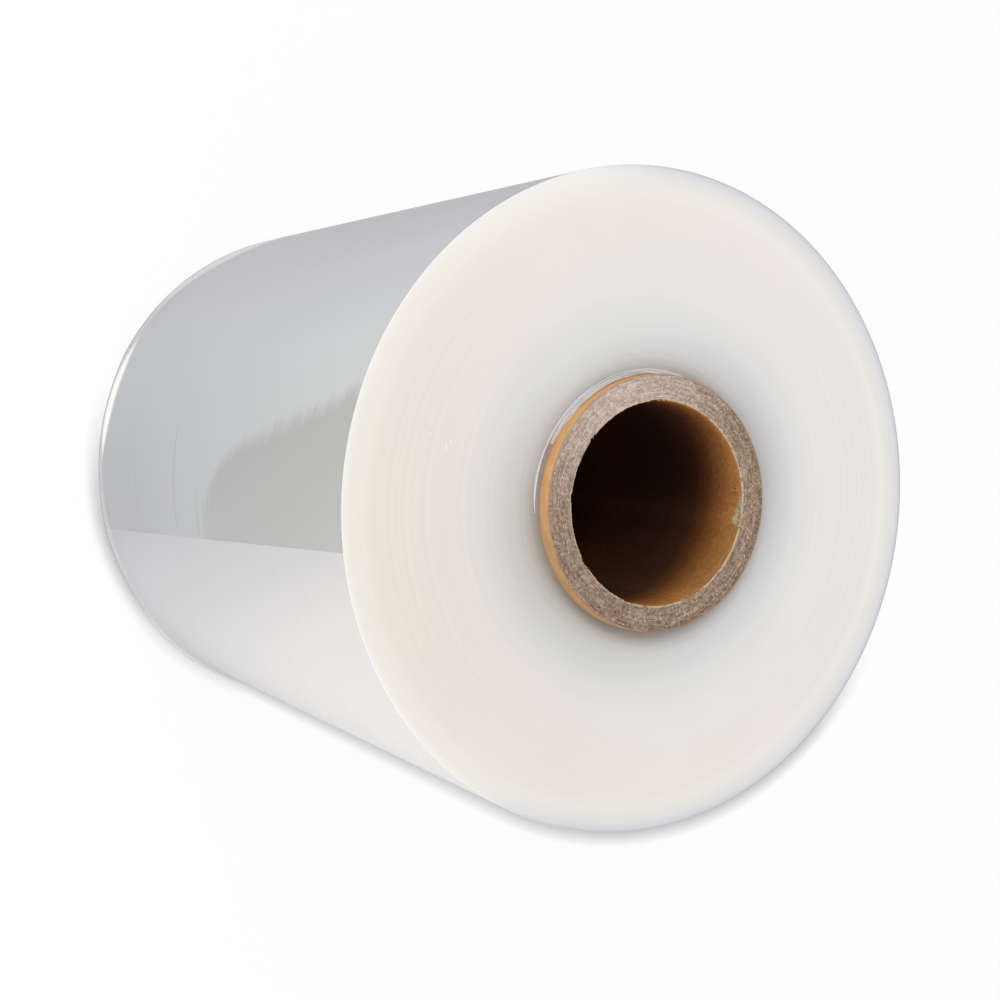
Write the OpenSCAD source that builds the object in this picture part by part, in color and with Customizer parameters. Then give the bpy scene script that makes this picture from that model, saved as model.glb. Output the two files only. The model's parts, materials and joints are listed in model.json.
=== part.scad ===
// Roll of clear stretch wrap on a paperboard core, standing on the end of its core.
// The axis of the roll is Z, and the origin is the centre of the core's lower end.

/* [Core] */
// Bore of the paperboard core, the nominal three inch spindle size
core_bore = 76.2; // [50:0.1:80]
// Wall of the core, many plies of glued paper
core_wall = 9.8; // [5:0.1:15]
// Length of core that stands out of the film at each end
core_proud = 6.6; // [5:0.1:20]
// Rounding of the cut edges of the core
core_edge = 0.5; // [0.1:0.1:1.5]

/* [Film] */
// Width of the film, between the two faces of the roll
film_width = 313.6; // [100:0.2:600]
// Outside diameter of the wound film
film_diameter = 249; // [160:1:450]
// Gap between the core and the innermost turn
winding_gap = 0; // [0:0.05:0.5]
// Rounding of the outermost turns at the upper face
rim_radius = 2.4; // [0.5:0.1:5]

/* [Turns] */
// Bands of turns that can be told apart in each face
band_count = 26; // [8:1:40]
// How far a band of turns wanders into or out of its face
band_wander = 0.3; // [0.05:0.05:0.6]
// Width of the innermost turns, which stand proud of the upper face as a collar
collar_width = 2.4; // [0.6:0.2:6]
// Height of that collar above the upper face
collar_height = 1.5; // [0.6:0.1:4]
// Steps in which the collar falls to the face
collar_steps = 3; // [1:1:5]

/* [Lip] */
// Length by which the outermost turns hang below the lower face
lip_height = 4.3; // [2:0.1:4.9]
// Thickness of the lip where it leaves the face
lip_root = 3.2; // [2:0.1:6]
// Thickness of the lip at its rounded edge
lip_edge = 1.2; // [0.4:0.1:1.8]

/* [Tail] */
// Step that the free end of the film makes along the outermost turn
tail_step = 0.35; // [0.15:0.05:1]
// Place of the free end round the roll, in degrees from X
tail_angle = 287; // [0:1:359]

/* [Hidden] */

$fn = 180;
core_radius = core_bore / 2 + core_wall;
core_length = film_width + 2 * core_proud;
film_inner = core_radius + winding_gap;
film_outer = film_diameter / 2;
lower_face = core_proud;
upper_face = core_proud + film_width;

// The bands lie between the collar and the rounded rim
bands_from = film_inner + collar_width;
bands_to = film_outer - max(rim_radius, lip_root);
// Neighbouring bands take their heights and widths a golden angle apart, so no pattern repeats
golden_angle = 137.5;
// Share of a band's width by which its edge may be off an even spacing
band_unevenness = 0.3;
// Start of the golden angle in each face, so that the two faces differ
upper_phase = 20;
lower_phase = 200;
// Depth by which parts of the section run into each other, so that they join as one solid
join = 0.5;

// Radius of the edge between band i - 1 and band i
function band_edge(i) =
    bands_from + (bands_to - bands_from)
        * (i == 0 || i == band_count ? i : i + band_unevenness * sin(golden_angle * i)) / band_count;

// Height of band i over its face
function band_lift(i, phase) = band_wander * sin(golden_angle * i + phase);

// Points of one stepped face from the collar out to the rim, lifted in the given direction
function face_steps(level, phase, direction) = [
    for (i = [0 : band_count - 1])
        for (edge = [i, i + 1])
            [band_edge(edge), level + direction * band_lift(i, phase)]
];

function backwards(points) = [for (i = [len(points) - 1 : -1 : 0]) points[i]];

// Rectangle from one corner to the opposite one
module block_2d(low, high) {
    translate(low) square(high - low);
}

// Section of the core's wall, with its four cut edges rounded
module core_section() {
    inner = core_bore / 2;
    block_2d([inner, core_edge], [core_radius, core_length - core_edge]);
    block_2d([inner + core_edge, 0], [core_radius - core_edge, core_length]);
    for (x = [inner + core_edge, core_radius - core_edge])
        for (z = [core_edge, core_length - core_edge])
            translate([x, z]) circle(core_edge, $fn = 48);
}

// Turns between the collar and the rim, a little out of line with each other in both faces
module wound_section() {
    upper = face_steps(upper_face, upper_phase, 1);
    lower = face_steps(lower_face, lower_phase, -1);
    polygon(concat(upper, backwards(lower)));
}

// Innermost turns, which climb the core as a stepped collar at the upper face
module collar_section() {
    for (s = [1 : collar_steps])
        block_2d(
            [film_inner, lower_face],
            [film_inner + collar_width * s / collar_steps + (s == collar_steps ? join : 0),
             upper_face + collar_height * (collar_steps - s) / collar_steps]
        );
    block_2d([film_inner, lower_face],
             [film_inner + collar_width / collar_steps / 2, upper_face + collar_height]);
}

// Outermost turns, rounded over at the upper face
module rim_section() {
    block_2d([bands_to - join, lower_face], [film_outer, upper_face - rim_radius]);
    block_2d([bands_to - join, lower_face], [film_outer - rim_radius, upper_face]);
    translate([film_outer - rim_radius, upper_face - rim_radius]) circle(rim_radius, $fn = 72);
}

// Thin edge of the outermost turns, which runs past the lower face and narrows to a round bead
module lip_section() {
    bead = lip_edge / 2;
    bead_level = lower_face - lip_height + bead;
    polygon([
        [film_outer - lip_root, lower_face + join],
        [film_outer, lower_face + join],
        [film_outer, bead_level],
        [film_outer - lip_edge, bead_level]
    ]);
    translate([film_outer - bead, bead_level]) circle(bead, $fn = 48);
}

// Last part of the outermost turn: it swells outwards as it nears the free end, where it stops short
module last_turn() {
    swell = tail_step / 2;
    reach = film_outer + tail_step;
    rotate([0, 0, tail_angle])
        translate([0, 0, lower_face - lip_height + lip_edge])
            linear_extrude(film_width + lip_height - lip_edge - rim_radius)
                difference() {
                    intersection() {
                        translate([swell, 0]) circle(film_outer + swell);
                        polygon([[0, 0], [reach, 0], [reach, reach], [-reach, reach]]);
                    }
                    circle(film_outer - lip_edge / 2);
                }
}

// Spirally wound paperboard tube, cut square at both ends
module cardboard_core() {
    color("burlywood") rotate_extrude() core_section();
}

// All the turns of film, which cling to each other as one body
module film_roll() {
    color("ghostwhite") {
        rotate_extrude() {
            wound_section();
            collar_section();
            rim_section();
            lip_section();
        }
        last_turn();
    }
}

cardboard_core();
film_roll();
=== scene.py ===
# %% [markdown]
# A roll of stretch wrap is two things: a thick paperboard tube and several thousand turns of clear
# film wound on it. Both are bodies of revolution, so one short outline turned about the roll's axis
# makes each of them. What makes them look real is on top of that outline: turns that don't line up,
# torn paper at the cut ends, a film that is cream where its edges stack up and grey where it is smooth.
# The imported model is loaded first, because it gives the main sizes.

# %% Load the frame
import json
import math
import random

import bpy
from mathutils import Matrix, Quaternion, Vector, noise


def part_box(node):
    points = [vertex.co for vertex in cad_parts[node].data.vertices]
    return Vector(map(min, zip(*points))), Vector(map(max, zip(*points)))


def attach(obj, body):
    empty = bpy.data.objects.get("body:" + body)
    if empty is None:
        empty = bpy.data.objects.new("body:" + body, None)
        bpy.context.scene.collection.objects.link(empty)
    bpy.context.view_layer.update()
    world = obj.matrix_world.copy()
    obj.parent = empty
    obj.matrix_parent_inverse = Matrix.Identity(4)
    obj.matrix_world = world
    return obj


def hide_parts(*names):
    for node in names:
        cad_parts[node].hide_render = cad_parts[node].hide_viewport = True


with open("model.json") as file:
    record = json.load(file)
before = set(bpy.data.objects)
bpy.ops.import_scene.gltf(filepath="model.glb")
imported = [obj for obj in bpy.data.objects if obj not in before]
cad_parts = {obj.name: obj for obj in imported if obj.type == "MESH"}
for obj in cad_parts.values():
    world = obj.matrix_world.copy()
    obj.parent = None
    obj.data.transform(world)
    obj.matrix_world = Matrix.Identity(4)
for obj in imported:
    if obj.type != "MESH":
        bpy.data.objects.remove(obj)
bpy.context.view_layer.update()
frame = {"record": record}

# %% [markdown]
# The two CAD nodes give the sizes that the eye compares: radii and levels. Only what the CAD holds no
# number for, such as how ragged a torn edge is, is written down here, and then always in millimetres.

# %% Sizes of the roll
MM = 0.001
core_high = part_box("cardboard_core")[1]
film_low, film_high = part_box("film_roll")
BORE = next(m["dims"]["r_mm"] for m in frame["record"]["mounts"] if m["name"] == "core_bore") * MM
CORE_OUT = core_high.x
CORE_TOP = core_high.z
FILM_IN = CORE_OUT
FILM_OUT = film_high.y
LIP_LEVEL = film_low.z
# How far the core stands out of each face
PROUD = 6.6 * MM
MIDDLE = CORE_TOP / 2
FACE_UP = CORE_TOP - PROUD
FACE_DOWN = PROUD
print("bore", BORE, "core", CORE_OUT, "film", FILM_OUT, "faces", FACE_DOWN, FACE_UP)

# %% [markdown]
# The camera stands above the roll and to one side, and looks steeply down at it. It is rolled by
# almost a quarter turn, so that the upright roll lies across the picture with its upper end to the
# right. A quaternion that points the camera comes first, and the roll about its own axis follows.

# %% Camera
EYE_ASIDE = 335.8 * MM
EYE_ABOVE_FACE = 488.9 * MM
AIM = Vector((5.2 * MM, -63.7 * MM, FACE_UP))
ROLL_DEG = 97.55
SENSOR_WIDTH = 36
FOCAL_OVER_WIDTH = 1.581


def linked(name, data):
    """A new object in the scene."""
    made = bpy.data.objects.new(name, data)
    bpy.context.scene.collection.objects.link(made)
    return made


def aimed(made, place, target):
    """Puts a camera or a lamp in its place and points it at a target."""
    made.location = place
    made.rotation_mode = "QUATERNION"
    made.rotation_quaternion = (Vector(target) - Vector(place)).to_track_quat("-Z", "Y")


camera_data = bpy.data.cameras.new("camera")
camera_data.sensor_width = SENSOR_WIDTH
camera_data.lens = SENSOR_WIDTH * FOCAL_OVER_WIDTH
camera_data.clip_start = 10 * MM
camera = linked("camera", camera_data)
bpy.context.scene.camera = camera
aimed(camera, (0, -EYE_ASIDE, FACE_UP + EYE_ABOVE_FACE), AIM)
camera.rotation_quaternion = camera.rotation_quaternion @ Quaternion((0, 0, 1), math.radians(ROLL_DEG))
print("camera at", [round(v, 4) for v in camera.location], "lens", round(camera_data.lens, 2), "mm")

# %% [markdown]
# Materials and geometry trees are both made of nodes. A Value stands for an output of a node, and it
# can be calculated with: each sign in a line such as `1 - a * b` adds one maths node. So the lines
# below read like the sums that the trees work out. No helper needs to be told its tree, because the
# outputs that it is given know where they belong.

# %% Node helpers
class Value:
    """An output of a node. value["Name"] is another output of the same node."""

    def __init__(self, socket):
        self.socket = socket

    def __getitem__(self, name):
        return Value(self.socket.node.outputs[name])

    def __abs__(self):
        return maths("ABSOLUTE", self)


def tree_of(*values):
    """The tree that the outputs among these values belong to."""
    return next(v.socket.id_data for v in values if isinstance(v, Value))


def node(tree, kind, inputs=None, **settings):
    """Adds a node and gives its first output. An input is linked to a Value, and set to anything else."""
    made = tree.nodes.new(kind)
    for name, value in settings.items():
        setattr(made, name, value)
    for name, value in (inputs or {}).items():
        if isinstance(value, Value):
            tree.links.new(value.socket, made.inputs[name])
        else:
            made.inputs[name].default_value = value
    return Value(made.outputs[0]) if made.outputs else None


def maths(operation, *values):
    """One step of arithmetic, in a shader or a geometry tree."""
    return node(tree_of(*values), "ShaderNodeMath", dict(enumerate(values)), operation=operation)


def sign(operation, swapped):
    """What a Value does at a sign between two numbers, where it stands first or, swapped, second."""
    return lambda one, other: maths(operation, *((other, one) if swapped else (one, other)))


SIGNS = {
    "add": "ADD", "sub": "SUBTRACT", "mul": "MULTIPLY", "truediv": "DIVIDE",
    "mod": "FLOORED_MODULO", "pow": "POWER",
}
for python_name, operation in SIGNS.items():
    setattr(Value, f"__{python_name}__", sign(operation, False))
    setattr(Value, f"__r{python_name}__", sign(operation, True))


def vectors(operation, *values):
    """One step of arithmetic with vectors. Lengths, distances and dot products are numbers."""
    made = node(tree_of(*values), "ShaderNodeVectorMath", dict(enumerate(values)), operation=operation)
    return made["Value"] if operation in ("LENGTH", "DISTANCE", "DOT_PRODUCT") else made


def scaled(vector, factor):
    """A vector times a number, or a colour made lighter or darker."""
    given = {0: vector, "Scale": factor}
    return node(tree_of(vector, factor), "ShaderNodeVectorMath", given, operation="SCALE")


def split(vector):
    """The parts of a vector, as ["X"], ["Y"] and ["Z"]."""
    return node(tree_of(vector), "ShaderNodeSeparateXYZ", {0: vector})


def joined(x=0.0, y=0.0, z=0.0):
    """A vector made of its parts."""
    return node(tree_of(x, y, z), "ShaderNodeCombineXYZ", {"X": x, "Y": y, "Z": z})


def range_of(value, low, high, to_low=0.0, to_high=1.0, **settings):
    """Maps low..high to to_low..to_high in a straight line, and holds the ends."""
    ends = {"Value": value, "From Min": low, "From Max": high, "To Min": to_low, "To Max": to_high}
    return node(tree_of(value), "ShaderNodeMapRange", ends, **settings)


def smooth_step(value, low, high):
    """0 below low, 1 above high, and a soft ramp between them."""
    return range_of(value, low, high, interpolation_type="SMOOTHSTEP")


def noise_of(vector, scale=1.0, detail=2.0):
    """Smooth seeded noise from 0 to 1, mostly near 0.5."""
    given = {"Vector": vector, "Scale": scale, "Detail": detail}
    return node(tree_of(vector), "ShaderNodeTexNoise", given)


def new_group(name, kind, inputs, outputs):
    """A node group and its inputs. Each input is given by its default, or by its type if it has none."""
    tree = bpy.data.node_groups.new(name, kind)
    for label, default in inputs.items():
        socket = {int: "NodeSocketInt", float: "NodeSocketFloat"}.get(type(default), default)
        made = tree.interface.new_socket(label, in_out="INPUT", socket_type=socket)
        if socket != default:
            made.default_value = default
    for label, socket in outputs.items():
        tree.interface.new_socket(label, in_out="OUTPUT", socket_type=socket)
    return tree, Value(tree.nodes.new("NodeGroupInput").outputs[0])


# %% [markdown]
# Every pattern on the roll belongs to its axis. Besides the distance from the axis, the patterns need
# a "wound" vector, which runs fast across the turns and slowly along them, so that a noise on it draws
# long streaks round the roll. It is made from the direction from the axis, so it has no seam.

# %% Wound coordinates
def wound_coordinates(place, waviness, bands):
    """The parts of a place, its distance from the axis, and the vector for patterns round the roll."""
    spot = split(place)
    flat = joined(spot["X"], spot["Y"])
    radius = vectors("LENGTH", flat)
    across = joined(z=(radius - spot["Z"]) * bands)
    return spot, radius, vectors("ADD", scaled(vectors("NORMALIZE", flat), waviness), across)


# %% [markdown]
# The revolve tree turns an outline into a body. The outline is a line of points with the radius in X
# and the height in Z. A grid gets one column for each step round the axis and one row for each point
# of the outline, and each grid point looks up its own point on the outline and is turned to its
# angle. Two things are added to a plain lathe. The outer wall may climb a small step where the film
# ends: the seam of the grid lies there, and one more column closes it. And a relief, a noise that
# changes fast along the outline and slowly round the roll, moves each point along its normal.

# %% Revolve tree
CLIMB_DEPTH = 0.5 * MM
MERGE_DISTANCE = 0.002 * MM


def end_body(tree, geometry, material):
    """Ends a geometry tree with real geometry that has its material."""
    real = node(tree, "GeometryNodeRealizeInstances", {0: geometry})
    painted = node(tree, "GeometryNodeSetMaterial", {"Geometry": real, "Material": material})
    node(tree, "NodeGroupOutput", {"Body": painted})


def revolve_tree():
    inputs = {
        "Outline": "NodeSocketGeometry", "Steps": 64, "Start Angle": 0.0, "Lean": 0.0,
        "End Step": 0.0, "End Reach": 0.4, "End Radius": 1.0,
        "Relief": 0.0, "Bands per Metre": 300.0, "Waviness": 1.0, "Material": "NodeSocketMaterial",
    }
    tree, given = new_group("revolve outline", "GeometryNodeTree", inputs, {"Body": "NodeSocketGeometry"})
    outline, steps = given["Outline"], given["Steps"]
    rows = node(tree, "GeometryNodeAttributeDomainSize", {"Geometry": outline})["Point Count"]
    grid = node(tree, "GeometryNodeMeshGrid", {"Vertices X": steps + 2, "Vertices Y": rows})
    index = node(tree, "GeometryNodeInputIndex")
    step = maths("FLOOR", index / rows)
    place = node(tree, "GeometryNodeInputPosition")
    looked_up = {"Geometry": outline, "Index": index - step * rows, "Value": place}
    on_outline = split(node(tree, "GeometryNodeSampleIndex", looked_up, data_type="FLOAT_VECTOR"))

    # The last column stands at the first one's angle and has its radius, so that it closes the step
    turn = maths("MINIMUM", step / steps, 1)
    past_end = step % (steps + 1) / steps
    on_wall = smooth_step(on_outline["X"], given["End Radius"] - CLIMB_DEPTH, given["End Radius"])
    climb = (1 - smooth_step(past_end, 0, given["End Reach"])) * on_wall
    radius = climb * given["End Step"] + on_outline["X"]
    angle = turn * math.tau + (on_outline["Z"] * given["Lean"] + given["Start Angle"])
    turned = joined(radius * maths("COSINE", angle), radius * maths("SINE", angle), on_outline["Z"])
    body = node(tree, "GeometryNodeSetPosition", {"Geometry": grid, "Position": turned})
    merged = node(tree, "GeometryNodeMergeByDistance", {"Geometry": body, "Distance": MERGE_DISTANCE})

    wound = wound_coordinates(place, given["Waviness"], given["Bands per Metre"])[2]
    shift = scaled(node(tree, "GeometryNodeInputNormal"), (noise_of(wound) - 0.5) * given["Relief"])
    relief = node(tree, "GeometryNodeSetPosition", {"Geometry": merged, "Offset": shift})

    # The grid's own faces look at the axis, so they are turned round
    end_body(tree, node(tree, "GeometryNodeFlipFaces", {"Mesh": relief}), given["Material"])
    return tree


REVOLVE = revolve_tree()
print("revolve tree has", len(REVOLVE.nodes), "nodes")

# %% [markdown]
# A modifier runs a tree, and what it makes is copied into a plain mesh, so that the finished piece
# carries no modifier. Faces are smooth, and edges sharper than an angle stay sharp.

# %% Run a tree
def grown(name, source_mesh, tree, material, sharp_deg, **inputs):
    """A plain mesh object that a geometry tree makes from a source mesh."""
    source = linked(name + " source", source_mesh)
    modifier = source.modifiers.new("grow", "NODES")
    modifier.node_group = tree
    sockets = {s.name: s.identifier for s in tree.interface.items_tree if s.in_out == "INPUT"}
    for label, value in {"Material": material, **inputs}.items():
        modifier[sockets[label.replace("_", " ")]] = value
    graph = bpy.context.evaluated_depsgraph_get()
    mesh = bpy.data.meshes.new_from_object(source.evaluated_get(graph), depsgraph=graph)
    bpy.data.objects.remove(source)
    mesh.name = name
    mesh.materials.clear()
    mesh.materials.append(material)
    mesh.polygons.foreach_set("material_index", [0] * len(mesh.polygons))
    mesh.shade_smooth()
    mesh.set_sharp_from_angle(angle=math.radians(sharp_deg))
    print(name, "has", len(mesh.polygons), "faces")
    return linked(name, mesh)


def revolve(name, outline, material, steps, sharp_deg=40, **inputs):
    """Turns a closed outline of (radius, height) points about the roll's axis."""
    points = list(outline) + [outline[0]]
    line = bpy.data.meshes.new(name + " outline")
    line.from_pydata([(r, 0, z) for r, z in points], [(i, i + 1) for i in range(len(points) - 1)], [])
    return grown(name, line, REVOLVE, material, sharp_deg, Steps=steps, **inputs)


# %% [markdown]
# Colours are written as the screen values that they should show, because those can be read off and
# compared. One helper turns them into Blender's linear numbers, and the others build ramps and mixes.

# %% Colour helpers
def shader_colour(red, green, blue):
    """The colour that shows as these screen values from 0 to 255, as Blender's linear numbers."""
    shares = [v / 255 for v in (red, green, blue)]
    return (*((v / 12.92) if v * 255 <= 10 else ((v + 0.055) / 1.055) ** 2.4 for v in shares), 1.0)


def ramp_of(value, low, high, stops):
    """A colour ramp between two values. Stops are (share, red, green, blue) in screen values."""
    ramp = node(tree_of(value), "ShaderNodeValToRGB", {"Fac": range_of(value, low, high)})
    elements = ramp.socket.node.color_ramp.elements
    while len(elements) < len(stops):
        elements.new(0.5)
    for element, (at, *colour) in zip(elements, stops):
        element.position = at
        element.color = shader_colour(*colour)
    return ramp


def mix_colour(factor, first, second, blend="MIX"):
    """Mixes two colours, given as Values or as screen values."""
    first, second = (c if isinstance(c, Value) else shader_colour(*c) for c in (first, second))
    given = {0: factor, 6: first, 7: second}
    return node(tree_of(factor, first, second), "ShaderNodeMix", given, data_type="RGBA", blend_type=blend)[2]


def painted(under, mask, colour, depth):
    """Lays a colour over another one where a mask is 1, as strongly as the depth says."""
    return mix_colour(mask * depth, under, colour)


# %% [markdown]
# All materials read the roll's coordinates from the same group. Object coordinates give them, so that
# nothing slides when the roll is carried about.

# %% Roll coordinates group
def object_place(tree):
    """Where a point lies in its object's own coordinates."""
    return node(tree, "ShaderNodeTexCoord")["Object"]


def roll_coordinates():
    outputs = dict.fromkeys(("Radius", "Angle", "Height"), "NodeSocketFloat")
    outputs["Wound"] = "NodeSocketVector"
    inputs = {"Waviness": 1.0, "Bands per Metre": 900.0}
    tree, given = new_group("roll coordinates", "ShaderNodeTree", inputs, outputs)
    spot, radius, wound = wound_coordinates(object_place(tree), given["Waviness"], given["Bands per Metre"])
    angle = maths("ARCTAN2", spot["Y"], spot["X"])
    node(tree, "NodeGroupOutput", {"Radius": radius, "Angle": angle, "Height": spot["Z"], "Wound": wound})
    return tree


ROLL_COORDINATES = roll_coordinates()
print("roll coordinates group has", len(ROLL_COORDINATES.nodes), "nodes")

# %% [markdown]
# Each surface below is a stack of masks: a band along one value, a lobe towards one direction, a bump.
# With a helper for each, the material cells say what is seen and not how nodes are wired.

# %% Material helpers
def emptied(data):
    """The tree of a material or a world, without its first nodes."""
    data.use_nodes = True
    data.node_tree.nodes.clear()
    return data.node_tree


def new_material(name, look):
    """A material with the Principled inputs that a look, a function of its tree, gives."""
    material = bpy.data.materials.new(name)
    tree = emptied(material)
    node(tree, "ShaderNodeOutputMaterial", {"Surface": node(tree, "ShaderNodeBsdfPrincipled", look(tree))})
    print("material", name, "has", len(tree.nodes), "nodes")
    return material


def roll_sockets(tree, waviness=1.0, bands=900.0):
    """The roll's own coordinates, with the pattern that runs round it."""
    given = {"Waviness": waviness, "Bands per Metre": bands}
    return node(tree, "ShaderNodeGroup", given, node_tree=ROLL_COORDINATES)


def wound_noise(tree, waviness, bands, detail):
    """Noise in streaks round the roll."""
    return noise_of(roll_sockets(tree, waviness, bands)["Wound"], detail=detail)


def band(value, low, high, soft):
    """1 between low and high, and 0 outside, with soft edges."""
    edge = soft / 2
    return smooth_step(value, low - edge, low + edge) - smooth_step(value, high - edge, high + edge)


def facing(angle, towards_deg):
    """1 in one direction round the roll, and -1 in the opposite one."""
    return maths("COSINE", angle - math.radians(towards_deg))


def lobe(angle, towards_deg, power):
    """1 in one direction round the roll and 0 from right angles to it, falling faster with more power."""
    return maths("MAXIMUM", facing(angle, towards_deg), 0) ** power


def bump_of(height, strength, distance):
    """A normal that follows a height."""
    given = {"Height": height, "Strength": strength, "Distance": distance}
    return node(tree_of(height), "ShaderNodeBump", given)


# %% [markdown]
# The floor is plain and pale. To the camera it is mostly white of its own, so that the background is
# white without more light on the roll, and a small share of matt floor keeps the roll's shadow. Close
# to the roll, on the side away from the key lamp, the white fades, as the corner beside any heavy
# object does. The film mirrors less of that white: a glossy wall shows mostly the floor as it is lit.
# The roll also has the narrow shade along its outline that a lamp close to the camera leaves. A real
# lamp there would flatten the wound face, so the floor works this shade out for itself: from a point
# of the floor, how far from the roll's axis does the straight line to that lamp pass by?

# %% Floor
FLOOR_PAINT = (0.95, 0.95, 0.95, 1)
WHITE = (1, 1, 1, 1)
FLOOR_GLOW = 0.93
FLOOR_GLOW_MIRRORED = 0.1
FLOOR_REACH = 6.0
CONTACT_REACH = 8 * MM
CONTACT_LEVEL = 0.5
# Openness of the corner at which it has faded most
CONTACT_CLOSED = 0.4
CAST_REACH = 5.4 * MM
CAST_LEVEL = 0.42
SHADE_SIDE_DEG = -11.3
SHADE_FROM = -12 * MM
SHADE_FULL = 78 * MM


def cast_shade(place):
    """1 on the floor where the roll hides a lamp beside the camera, falling to 0 just outside."""
    lamp_over = (camera.location.x, camera.location.y, 0)
    past_roll = scaled(vectors("SUBTRACT", lamp_over, place), FACE_UP / camera.location.z)
    to_axis = scaled(place, -1.0)
    ahead = vectors("DOT_PRODUCT", to_axis, past_roll) / vectors("DOT_PRODUCT", past_roll, past_roll)
    miss = vectors("DISTANCE", to_axis, scaled(past_roll, range_of(ahead, 0, 1)))
    return range_of(miss, FILM_OUT, FILM_OUT + CAST_REACH, 1, 0)


def floor_material():
    material = bpy.data.materials.new("pale floor")
    tree = emptied(material)
    matt = node(tree, "ShaderNodeBsdfDiffuse", {"Color": FLOOR_PAINT})
    place = object_place(tree)
    side = math.radians(SHADE_SIDE_DEG)
    reach = vectors("DOT_PRODUCT", place, (math.cos(side), math.sin(side), 0))
    openness = node(tree, "ShaderNodeAmbientOcclusion", {"Distance": CONTACT_REACH}, samples=8)["AO"]
    corner = range_of(openness, CONTACT_CLOSED, 1.0, 1 - CONTACT_LEVEL, 0)
    shade = maths("MAXIMUM", corner, cast_shade(place) * CAST_LEVEL)
    level = 1 - shade * smooth_step(reach, SHADE_FROM, SHADE_FULL)
    glow = node(tree, "ShaderNodeEmission", {"Color": WHITE, "Strength": level})
    path = node(tree, "ShaderNodeLightPath")
    direct = maths("MAXIMUM", path["Is Camera Ray"], path["Is Transmission Ray"])
    share = maths("MAXIMUM", direct * FLOOR_GLOW, path["Is Glossy Ray"] * FLOOR_GLOW_MIRRORED)
    mixed = node(tree, "ShaderNodeMixShader", {0: share, 1: matt, 2: glow})
    node(tree, "ShaderNodeOutputMaterial", {"Surface": mixed})
    return material


floor_mesh = bpy.data.meshes.new("floor")
corners = [(x * FLOOR_REACH, y * FLOOR_REACH, 0) for x, y in ((-1, -1), (1, -1), (1, 1), (-1, 1))]
floor_mesh.from_pydata(corners, [], [(0, 1, 2, 3)])
floor_mesh.materials.append(floor_material())
floor = linked("floor", floor_mesh)
print("floor reaches", FLOOR_REACH, "m each way")

# %% [markdown]
# A soft world gives most of the light. The key lamp stands high behind the upper left of the picture
# and draws the near rim, and the fill lamp stands low to the other side and lights the wall.

# %% Light
WORLD_LEVEL = 0.62
LIT_POINT = (0, 0, 0.2)
# Place and size in metres, power in watts
LAMPS = {"key lamp": ((-1.1, -0.9, 1.7), 1.0, 16), "fill lamp": ((1.5, -0.9, 0.6), 1.2, 14)}

world = bpy.data.worlds.new("pale studio")
bpy.context.scene.world = world
world_tree = emptied(world)
seen = node(world_tree, "ShaderNodeLightPath")["Is Camera Ray"]
sky_level = seen * (1 - WORLD_LEVEL) + WORLD_LEVEL
sky = node(world_tree, "ShaderNodeBackground", {"Color": WHITE, "Strength": sky_level})
node(world_tree, "ShaderNodeOutputWorld", {"Surface": sky})
for name, (place, size, power) in LAMPS.items():
    light = bpy.data.lights.new(name, "AREA")
    light.size = size
    light.energy = power
    aimed(linked(name, light), place, LIT_POINT)
bpy.context.scene.view_settings.view_transform = "Standard"

# %% [markdown]
# The wound face. Seen edge on, thousands of clear layers scatter the light like milk glass: cream near
# the rim, clearer and greyer towards the core. The grey by the core is partly the dark core showing
# through the clear turns and partly painted shade of the core, which stands out of the face, and the
# last millimetres before the rim are painted lighter, as a highlight. The rings are there, but only
# just, so a noise along the wound vector moves tone, gloss and height by very little.

# %% Wound face of the film
# Shares of the way from the core to the rim. The darkest stops by the core are partly painted shade
# of the core, and the lighter stops just before the rim are a painted highlight
FACE_RAMP = [
    (0.0, 161, 156, 151), (0.027, 177, 173, 169), (0.053, 193, 191, 188), (0.079, 206, 205, 204),
    (0.118, 214, 215, 216), (0.157, 218, 219, 220), (0.222, 224, 225, 225), (0.287, 230, 230, 229),
    (0.417, 238, 234, 231), (0.677, 240, 236, 229), (0.807, 241, 237, 230), (0.885, 245, 241, 234),
    (0.95, 249, 246, 240), (0.98, 248, 246, 242), (1.0, 240, 239, 237),
]
# Where the rim turns away from the light it is painted from cream to a lavender grey, as shade
FAR_RIM_RAMP = [
    (0.0, 241, 237, 231), (0.35, 235, 232, 230), (0.6, 229, 228, 230), (0.85, 218, 218, 223),
    (1.0, 190, 190, 198),
]
FAR_RIM_FROM = 116 * MM
FAR_RIM_FADE = (113 * MM, 117 * MM)
FAR_SIDE_DEG = 85
FAR_SIDE_EDGE = (-0.5, 0)
FACE_WARM = (249, 247, 242)
FACE_WARM_SIDE_DEG = -75
# Round the core: place in degrees, power of the lobe, how much lighter. All fade out over this range
CORE_SHADES = [(100, 3, -0.1), (-165, 2, 0.09), (-60, 3, -0.08)]
CORE_SHADE_FADE = (52 * MM, 76 * MM)
FACE_CLOUDS = (2.5, 45, 3)
FACE_CLOUD_TONES = (0.987, 1.013)
FACE_TURN_TONES = (-0.007, 0.007)
FILM_IOR = 1.5
# Nearly all values of a noise lie in this range
NOISE = (0.2, 0.8)
MID_NOISE = (0.3, 0.7)


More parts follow.
